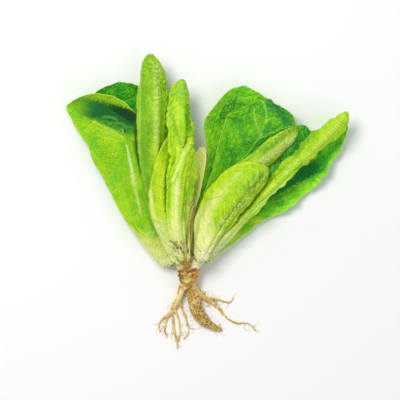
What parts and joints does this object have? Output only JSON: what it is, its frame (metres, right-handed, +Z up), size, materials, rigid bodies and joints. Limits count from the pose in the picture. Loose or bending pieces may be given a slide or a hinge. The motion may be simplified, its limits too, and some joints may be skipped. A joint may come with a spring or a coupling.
{
  "type": "young romaine lettuce plant with roots",
  "caption": "Young romaine lettuce pulled with its roots and laid flat, with loose leafy heads fanning out from a single root crown.",
  "frame": {"origin": "on the table, in the middle of the small flat spot under the root crown's knot", "axes": "+Z up, +Y from the roots towards the leaf tips, +X towards the right-hand head"},
  "size_m": [0.2399, 0.2512, 0.0437],
  "materials": {
    "leaf_inner_face": "fresh lettuce blade, mid to deep green, satin, net of pale veins",
    "leaf_back": "back of a lettuce blade, yellow-green, slightly glossy, raised pale rib and veins",
    "leaf_heart": "heart leaf, pale yellow-green running to cream white at the base, glossy rib",
    "leaf_withered": "withered leaf, straw yellow, dry and matt",
    "root": "washed root, tan with brown cracks, matt"
  },
  "bodies": {
    "root": {"root_crown": "root", "left_back_leaf": "leaf_inner_face", "left_outer_leaf": "leaf_inner_face", "left_inner_leaf": "leaf_inner_face", "left_tall_leaf": "leaf_back", "left_side_leaf": "leaf_back", "left_small_leaf": "leaf_heart", "left_heart_leaf": "leaf_heart", "left_front_leaf": "leaf_heart", "right_back_leaf": "leaf_inner_face", "right_outer_leaf": "leaf_inner_face", "right_broad_leaf": "leaf_inner_face", "right_inner_leaf": "leaf_inner_face", "right_long_leaf": "leaf_back", "right_folded_leaf": "leaf_back", "right_heart_leaf": "leaf_heart", "withered_leaf": "leaf_withered"}
  },
  "joints": []
}
